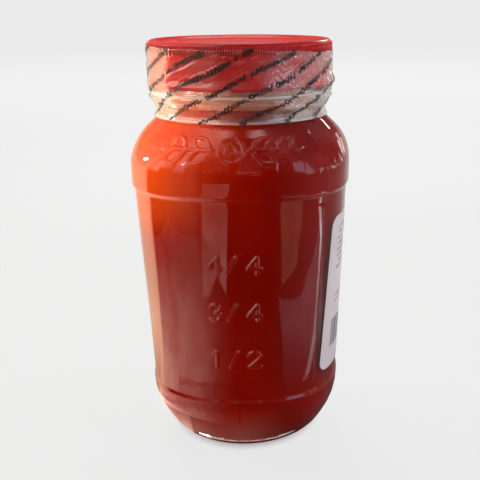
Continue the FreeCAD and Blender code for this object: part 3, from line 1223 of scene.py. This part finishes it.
def rib_tree(material):
    tree, given = new_tree("grip ribs", RIB_SIZES)
    circle = node(tree, "GeometryNodeMeshCircle", {}, {
        "Vertices": given["Count"], "Radius": given["Radius"] - given["Depth"],
    })
    rib = node(tree, "GeometryNodeMeshCylinder", {}, {
        "Vertices": 8, "Side Segments": 1, "Radius": given["Depth"], "Depth": given["Height"],
    })
    ring = node(tree, "GeometryNodeInstanceOnPoints", {}, {"Points": circle, "Instance": rib})
    up = node(tree, "ShaderNodeCombineXYZ", {}, {"Z": given["Level"]})
    lifted = node(tree, "GeometryNodeTransform", {}, {"Geometry": ring, "Translation": up})
    finish_tree(tree, node(tree, "GeometryNodeSetShadeSmooth", {}, {"Geometry": lifted}), material)
    return tree


print("rib sizes", RIB_SIZES)

# %% Red lacquer


def lacquer_material():
    material, tree = new_material("red lacquer")
    place = object_place(tree)
    cloud = noise(place, 60.0, 3.0)
    colour = mix_colours(smooth_step(cloud, 0.35, 0.65), (0.56, 0.010, 0.013), (0.66, 0.016, 0.018))
    surface = node(tree, "ShaderNodeBsdfPrincipled", {}, {
        "Base Color": colour,
        "Roughness": smooth_step(cloud, 0.2, 0.9) * 0.08 + 0.20,
        "Specular IOR Level": 0.45,
        "Normal": bumps(noise(place, 900.0, 2.0) * 0.00004, 0.25),
    })
    finish_material(tree, surface)
    return material


lacquer = lacquer_material()
lid.data.materials.append(lacquer)
ribs = run_tree("lid_grip_ribs", rib_tree(lacquer), RIB_SIZES)
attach(ribs, "root")
report(ribs)

# %% [markdown]
# ## The film
# A sleeve of clear film is shrunk over the lid's skirt and the neck. It lies against the metal, spans the hollow
# under the rolled edge and puckers in slanting wrinkles. Noise would make soft lumps. A real crease is sharp, so the
# wrinkles here are a sum of slanting waves, each of which is folded to come to a sharp crest.

# %% The film's shape
FILM_THICKNESS = 0.16
FILM_ROWS, FILM_COLUMN_DEG = 92, 0.75
LEAST_LIFT = 0.06
BULGES = [(0.9, 82, 7, 159.9, 1.9), (0.5, -84, 8, 165.5, 2.2)]


def folds(angles, z, seed, waves, up, spread):
    """Creases from -1 to 1 round a sleeve: slanting waves, a whole number round it, folded at their crests."""
    rng = np.random.default_rng(seed)
    total = np.zeros(z.shape)
    for octave in range(4):
        n = round(waves * 1.6 ** octave * rng.uniform(0.85, 1.15))
        k = up * 1.6 ** octave * rng.uniform(1 - spread, 1 + spread)
        a, b, c = rng.uniform(0, 2 * np.pi, 3)
        bend = 1.3 * np.sin(3 * angles + a) + 0.9 * np.sin(0.4 * z + 2 * angles + b)
        total += (1 - 2 * np.abs(np.sin((k * z - n * angles + bend + c) / 2))) / 1.6 ** octave
    return total / 2.0


def window(value, start, end, soft):
    """1 between start and end, 0 well outside them."""
    rise = np.clip((value - start) / soft, 0, 1)
    fall = np.clip((end - value) / soft, 0, 1)
    return rise * rise * (3 - 2 * rise) * fall * fall * (3 - 2 * fall)


print("creases along the front", folds(np.zeros(4), np.linspace(160, 170, 4), 3, 17, 0.85, 0.15).round(2))

# %% The line that the film follows


def film_top(angles):
    """The upper edge is uneven: high over the ribs at the left, just below them at the right."""
    swing = 1.35 * np.cos(angles + 1.15) + 0.35 * np.sin(3 * angles + 0.4) + 0.15 * np.sin(11 * angles)
    return LID_TOP - 3.35 + swing


def film_base():
    """The line that the film follows, from the lid's rim down over the rolled edge to the neck."""
    return rounded([
        (RIM_RADIUS + 0.12, LID_TOP, 0),
        (RIM_RADIUS + 0.12, LID_TOP - BAND_HEIGHT + 0.4, 3.0),
        (SKIRT_RADIUS + 0.30, LID_TOP - BAND_HEIGHT - 1.6, 3.0),
        (SKIRT_RADIUS + 0.35, LID_BOTTOM + 3.6, 3.0),
        (CURL_RADIUS + 0.16, LID_BOTTOM + 1.2, 1.2),
        (CURL_RADIUS - 0.1, LID_BOTTOM - 0.5, 0.8),
        (BEAD_RADIUS + 0.3, BEAD_HIGH - 2.0, 2.0),
        (BEAD_RADIUS + 0.15, BEAD_LOW + 0.6, 2.0),
        (NECK_RADIUS + 1.1, NECK_HIGH - 0.4, 2.5),
        (NECK_RADIUS + 0.55, NECK_LOW + 1.6, 2.5),
        (NECK_RADIUS + 1.9, FILM_BOTTOM, 0),
    ], turn_deg=10.0)


print("the film's line has", len(film_base()), "points")

# %% The film as a sheet


def film_lift(turn, angles, height):
    """How far the film stands off its line in millimetres: wrinkles, pleats over the ribs and two bulges."""
    slant = folds(angles, height, 3, 17, 0.85, 0.15)
    level = folds(angles, height, 8, 2, 1.9, 0.25)
    pleats = 1 - 2 * np.abs(np.sin(70 * angles + 2 * np.sin(5 * angles)))
    on_lid = window(height, LID_BOTTOM + 1.5, LID_TOP, 2.5)
    on_neck = window(height, FILM_BOTTOM - 2, LID_BOTTOM - 0.5, 2.5)
    lift = 0.10 + on_lid * (0.12 + 0.20 * slant) + on_neck * (0.30 + 0.26 * level + 0.14 * slant)
    lift += 0.05 * pleats * window(turn, -85, 5, 25) * window(height, LID_TOP - 6.5, LID_TOP, 2.0)
    for proud, middle_deg, half_deg, middle_z, half_z in BULGES:
        off_deg, off_z = (turn - middle_deg) / half_deg, (height - middle_z) / half_z
        lift += proud * np.exp(-(off_deg ** 2) - off_z ** 2)
    return np.clip(lift, LEAST_LIFT, None)


def make_film():
    base = refined(film_base(), lambda z: 0.4)
    run = np.concatenate([[0], np.cumsum(np.linalg.norm(np.diff(base, axis=0), axis=1))])
    angles = np.radians(np.arange(0, 360, FILM_COLUMN_DEG))
    top_run = np.interp(-film_top(angles), -base[:, 1], run)[None, :]
    where = top_run + np.linspace(0, 1, FILM_ROWS)[:, None] * (run[-1] - top_run)
    radius, height = (np.interp(where, run, base[:, i]) for i in range(2))
    out_r, out_z = (-np.interp(where, run, side) for side in normals_of(base).T)
    turn = (np.broadcast_to(np.degrees(angles), height.shape) + 180) % 360 - 180
    lift = film_lift(turn, angles, height)
    radius, height = radius + lift * out_r, height + lift * out_z
    points = ring_points(radius, height, angles)
    return mesh_object("seal_film", points.reshape(-1, 3).tolist(), ring_faces(*points.shape[:2], flipped=True))


film = make_film()
print("film before it gets its thickness:")
report(film)

# %% [markdown]
# Clear film is three things at once: it lets light through, it mirrors more the flatter one looks along it, and where
# it is crushed it turns white, because its many small facets scatter light. Two Mix Shaders do that. The first goes
# from clear to mirror by the angle of view, as Layer Weight gives it. The second adds the white haze where the film
# is crinkled and a little all over the neck. It also makes the film whiter along its lower edge, and it paints a pale
# ring under the lid and more white at the sides of the neck, which are a painted highlight.

# %% The film's finish


def film_material():
    material, tree = new_material("shrunk film")
    place = object_place(tree)
    z = parts(place)[2]
    turn = around(place) * 180
    patches = noise(place, 70.0, 2.0)
    right = smooth_step(turn + patches * 60, 45, 75) * (1 - smooth_step(turn, 110, 140))
    crinkled = right * smooth_step(patches, 0.36, 0.50)
    facets = node(tree, "ShaderNodeTexVoronoi", {"feature": "F1"}, {"Vector": place, "Scale": 620.0})
    grain = noise(place, 260.0, 4.0)
    bump = bumps(facets * crinkled * 0.00030 + grain * (crinkled * 0.00025 + 0.00005), 0.9)
    clear = node(tree, "ShaderNodeBsdfTransparent", {}, {"Color": (0.97, 0.97, 0.97)})
    mirror = node(tree, "ShaderNodeBsdfGlossy", {}, {
        "Color": (1.0, 1.0, 1.0), "Roughness": 0.09, "Normal": bump,
    })
    white = node(tree, "ShaderNodeBsdfPrincipled", {}, {
        "Base Color": (0.80, 0.78, 0.74), "Roughness": 0.25, "Normal": bump,
    })
    grazing = node(tree, "ShaderNodeLayerWeight", {}, {"Blend": 0.5, "Normal": bump}, output="Facing")
    sheet = node(tree, "ShaderNodeMixShader", {}, {0: grazing ** 4 * 0.8 + 0.05, 1: clear, 2: mirror})
    foot = FILM_BOTTOM * MM
    lower_rim = 1 - smooth_step(z + patches * 0.0015, foot + 0.0010, foot + 0.0026)
    # The pale ring under the lid is a painted highlight.
    painted_ring_z = (LID_BOTTOM - 2.4) * MM
    ring = soft_band(z, painted_ring_z - 0.0012, painted_ring_z, painted_ring_z, painted_ring_z + 0.0008)
    neck = 1 - smooth_step(z, (LID_BOTTOM - 4) * MM, (LID_BOTTOM - 1) * MM)
    # The extra white towards the sides of the neck is a painted highlight.
    sides = smooth_step(turn.maths("ABSOLUTE"), 22, 60)
    haze_and_painted_highlight = crinkled * (neck * 0.10 + 0.10) + lower_rim * 0.24 + ring * 0.46
    haze_and_painted_highlight = haze_and_painted_highlight + neck * (sides * 0.11 + 0.02) + 0.010
    surface = node(tree, "ShaderNodeMixShader", {}, {0: haze_and_painted_highlight, 1: sheet, 2: white})
    finish_material(tree, let_lamps_through(tree, surface, (0.95, 0.95, 0.95)))
    return material


print("the film's finish is described")

# %% [markdown]
# The print on the film is rows of small dark signs that climb to the right. Here each sign is one of six plain
# shapes, none of them a letter: two ticks, a hook, a diamond, a zigzag, a block of three bars and crossed strokes.
# Geometry Nodes lay out the rows, pick a shape at random for each place and drop it onto the film along a ray towards
# the jar's axis. Each sign then turns to lie flat on the film and leans with its row.

# %% Signs


def sign_mesh(name, strokes, half_width=0.125):
    """A flat sign in the XY plane, made of short thick strokes."""
    points, faces = [], []
    for a, b in strokes:
        a, b = np.array(a, float), np.array(b, float)
        along = (b - a) / np.linalg.norm(b - a)
        side = np.array([-along[1], along[0]]) * half_width
        start, end = a - along * half_width * 0.5, b + along * half_width * 0.5
        base = len(points)
        points += [(*(start - side), 0), (*(end - side), 0), (*(end + side), 0), (*(start + side), 0)]
        faces.append((base, base + 1, base + 2, base + 3))
    return mesh_object(name, [tuple(c * MM for c in p) for p in points], faces, smooth=False)


SIGNS = {
    "two_ticks": [((-0.35, -0.5), (-0.1, 0.5)), ((0.1, -0.5), (0.35, 0.5))],
    "hook": [((-0.4, 0.0), (-0.1, -0.5)), ((-0.1, -0.5), (0.4, 0.5))],
    "diamond": [
        ((-0.35, 0), (0, 0.5)), ((0, 0.5), (0.35, 0)), ((0.35, 0), (0, -0.5)), ((0, -0.5), (-0.35, 0)),
    ],
    "zigzag": [((-0.4, -0.4), (-0.15, 0.4)), ((-0.15, 0.4), (0.15, -0.4)), ((0.15, -0.4), (0.4, 0.4))],
    "block": [((-0.3, 0.2), (0.3, 0.2)), ((-0.3, 0.0), (0.3, 0.0)), ((-0.3, -0.2), (0.3, -0.2))],
    "crossed": [((-0.1, -0.5), (0.15, 0.5)), ((-0.4, -0.1), (0.4, 0.1))],
}
print("signs", *SIGNS)

# %% Rows of signs on the film
PRINT_SLOPE = 0.47
PRINT_SIZES = {
    "Rows": 13,
    "Signs": 86,
    "Pitch": 1.45 * MM,
    "Row rise": 8.0 * MM,
    "Slope": PRINT_SLOPE,
    "Radius": RIM_RADIUS * MM,
    "Middle": 0.5 * (LID_TOP + FILM_BOTTOM) * MM,
    "Seed": 4,
}
START_OFF, RAY_LENGTH = 6 * MM, 12 * MM
MISSED = 2 * MM
GAP_SHARE = 0.07


def print_places(tree, given):
    """A sheet of points bent round the jar, in front of the film, and how far it stands from the axis."""
    grid = node(tree, "GeometryNodeMeshGrid", {}, {
        "Vertices X": given["Signs"], "Vertices Y": given["Rows"], "Size X": 1.0, "Size Y": 1.0,
    })
    across, up, _ = parts(node(tree, "GeometryNodeInputPosition"))
    along = across * given["Signs"] * given["Pitch"]
    wander = (along * 210.0).maths("SINE") * 0.0005
    height = up * given["Rows"] * given["Row rise"] + along * given["Slope"] + wander + given["Middle"]
    angle = along / given["Radius"]
    far = given["Radius"] + START_OFF
    place = {"X": angle.maths("SINE") * far, "Y": angle.maths("COSINE") * far * -1, "Z": height}
    start = node(tree, "ShaderNodeCombineXYZ", {}, place)
    return node(tree, "GeometryNodeSetPosition", {}, {"Geometry": grid, "Position": start}), far


def chance(tree, low, high, seed):
    """A random number for each point."""
    inputs = {2: low, 3: high, "Seed": seed}
    return node(tree, "FunctionNodeRandomValue", {"data_type": "FLOAT"}, inputs, output=1)


def dropped_on(tree, points, far, target):
    """The points that a ray towards the axis brings onto the target, with the way it faces there."""
    spot = node(tree, "GeometryNodeInputPosition")
    inward, level = (
        node(tree, "ShaderNodeVectorMath", {"operation": "MULTIPLY"}, {0: spot, 1: factor})
        for factor in ((-1, -1, 0), (1, 1, 0))
    )
    surface = node(tree, "GeometryNodeObjectInfo", {}, {"Object": target}).twin("Geometry")
    inputs = {"Target Geometry": surface, "Ray Direction": inward, "Ray Length": RAY_LENGTH}
    ray = node(tree, "GeometryNodeRaycast", {}, inputs)
    facing = ray.twin("Hit Normal")
    inputs = {0: facing, "Scale": (FILM_THICKNESS + 0.05) * MM}
    proud = node(tree, "ShaderNodeVectorMath", {"operation": "SCALE"}, inputs)
    lifted = node(tree, "ShaderNodeVectorMath", {}, {0: ray.twin("Hit Position"), 1: proud})
    inputs = {"Geometry": points, "Name": "facing", "Value": facing}
    stored = node(tree, "GeometryNodeStoreNamedAttribute", {"data_type": "FLOAT_VECTOR"}, inputs)
    inputs = {"Geometry": stored, "Position": lifted, "Selection": ray.twin("Is Hit")}
    dropped = node(tree, "GeometryNodeSetPosition", {}, inputs)
    too_far = distance(level).maths("GREATER_THAN", far - MISSED)
    gap = chance(tree, 0.0, 1.0, 21).maths("LESS_THAN", GAP_SHARE)
    inputs = {"Geometry": dropped, "Selection": too_far.maths("MAXIMUM", gap)}
    return node(tree, "GeometryNodeDeleteGeometry", {}, inputs)


def lying_flat(tree, lean):
    """A turn that lays a sign on the film, sets it upright and then leans it."""
    settings = {"data_type": "FLOAT_VECTOR"}
    facing = node(tree, "GeometryNodeInputNamedAttribute", settings, {"Name": "facing"})
    flat = node(tree, "FunctionNodeAlignRotationToVector", {"axis": "Z"}, {"Vector": facing})
    settings, inputs = {"axis": "Y", "pivot_axis": "Z"}, {"Vector": (0, 0, 1), "Rotation": flat}
    upright = node(tree, "FunctionNodeAlignRotationToVector", settings, inputs)
    inputs = {"Rotation": upright, "Rotate By": (0, 0, lean)}
    return node(tree, "FunctionNodeRotateRotation", {"rotation_space": "LOCAL"}, inputs)


print("print sizes", PRINT_SIZES)

# %% The whole print


def print_tree(signs, target, material):
    tree, given = new_tree("film print", PRINT_SIZES)
    sheet, far = print_places(tree, given)
    sign_inputs = [{"Object": sign, "As Instance": True} for sign in signs]
    shapes = [node(tree, "GeometryNodeObjectInfo", {}, inputs).twin("Geometry") for inputs in sign_inputs]
    inputs = {4: 0, 5: len(signs) - 1, "Seed": given["Seed"]}
    printed = node(tree, "GeometryNodeInstanceOnPoints", {}, {
        "Points": dropped_on(tree, sheet, far, target),
        "Instance": node(tree, "GeometryNodeJoinGeometry", {}, {0: shapes}),
        "Pick Instance": True,
        "Instance Index": node(tree, "FunctionNodeRandomValue", {"data_type": "INT"}, inputs, output=2),
        "Rotation": lying_flat(tree, math.atan(PRINT_SLOPE)),
        "Scale": chance(tree, 1.8, 2.5, 33),
    })
    finish_tree(tree, printed, material)
    return tree


def ink_material():
    material, tree = new_material("dark print")
    place = object_place(tree)
    wear = noise(place, 300.0, 2.0)
    colour = mix_colours(smooth_step(wear, 0.4, 0.7), (0.010, 0.006, 0.008), (0.06, 0.02, 0.025))
    surface = node(tree, "ShaderNodeBsdfPrincipled", {}, {"Base Color": colour, "Roughness": 0.45})
    finish_material(tree, surface)
    return material


ink = ink_material()
signs = [sign_mesh(name, strokes) for name, strokes in SIGNS.items()]
film_print = run_tree("film_print", print_tree(signs, film, ink), PRINT_SIZES)
for sign in signs:
    bpy.data.objects.remove(sign)
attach(film_print, "root")
report(film_print)


# %% The film gets its thickness


def thicken(obj, thickness):
    solid = obj.modifiers.new("thickness", "SOLIDIFY")
    solid.thickness = thickness * MM
    solid.offset = 1.0
    shown = obj.evaluated_get(bpy.context.evaluated_depsgraph_get())
    obj.data = bpy.data.meshes.new_from_object(shown)
    obj.modifiers.clear()


thicken(film, FILM_THICKNESS)
film.data.materials.append(film_material())
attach(film, "root")
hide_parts("seal_band")
report(film)

# %% [markdown]
# ## The label
# The CAD label already has its true shape, a thin sheet on the bowed side, so it stays and gets a paper finish. The
# print on it is made in the shader from whole-number cells: rows of dashes of one length, where a random number for
# each cell leaves some out, and below them upright bars of chance widths.

# %% Print on the paper
ROW_PITCH, DASH_PITCH, BAR_PITCH = 2.6, 1.0, 0.55
UPPER_ROWS = (80.0, 101.4, -21.0, 21.0)
MIDDLE_ROWS = (65.0, 70.2, -20.0, 12.0)
BARS = (45.0, 58.0, -22.0, 6.0)


def between(value, low, high):
    """1 from low to high, 0 outside them."""
    return value.maths("GREATER_THAN", low) * value.maths("LESS_THAN", high)


def cell_chance(first, second):
    """One random number from 0 to 1 for each cell of a grid of whole numbers."""
    corner = {"X": first.maths("FLOOR"), "Y": second.maths("FLOOR")}
    cell = node(first.tree, "ShaderNodeCombineXYZ", {}, corner)
    return node(first.tree, "ShaderNodeTexWhiteNoise", {"noise_dimensions": "2D"}, {"Vector": cell})


def paper_print(place):
    """Where the label is printed: rows of dashes above, short rows in the middle and a group of bars below."""
    _, y, z = parts(place)

    def block(low, high, left, right):
        return between(z, low * MM, high * MM) * between(y, left * MM, right * MM)

    row, dash = z / (ROW_PITCH * MM), y / (DASH_PITCH * MM)
    dashes = between(row - row.maths("FLOOR"), 0.22, 0.72) * between(dash - dash.maths("FLOOR"), 0.12, 0.80)
    dashes = dashes * cell_chance(dash, row).maths("GREATER_THAN", 0.22)
    bars = cell_chance(y / (BAR_PITCH * MM), z * 0).maths("GREATER_THAN", 0.42)
    return dashes * block(*UPPER_ROWS) + dashes * block(*MIDDLE_ROWS) + bars * block(*BARS)


print("printed from", BARS[0], "to", UPPER_ROWS[1], "mm up the jar")

# %% Paper


def paper_material():
    material, tree = new_material("label paper")
    place = object_place(tree)
    tone = noise(place, 30.0, 1.0)
    colour = mix_colours(smooth_step(tone, 0.3, 0.7), (0.72, 0.70, 0.76), (0.79, 0.78, 0.82))
    colour = mix_colours(paper_print(place) * 0.85, colour, (0.07, 0.07, 0.08))
    bump = bumps(noise(place, 700.0, 3.0) * 0.00005, 0.3)
    surface = node(tree, "ShaderNodeBsdfPrincipled", {}, {
        "Base Color": colour, "Roughness": 0.42, "Normal": bump,
    })
    finish_material(tree, surface)
    return material


label = bpy.data.objects["label"]
label.data.materials.clear()
label.data.materials.append(paper_material())
report(label)
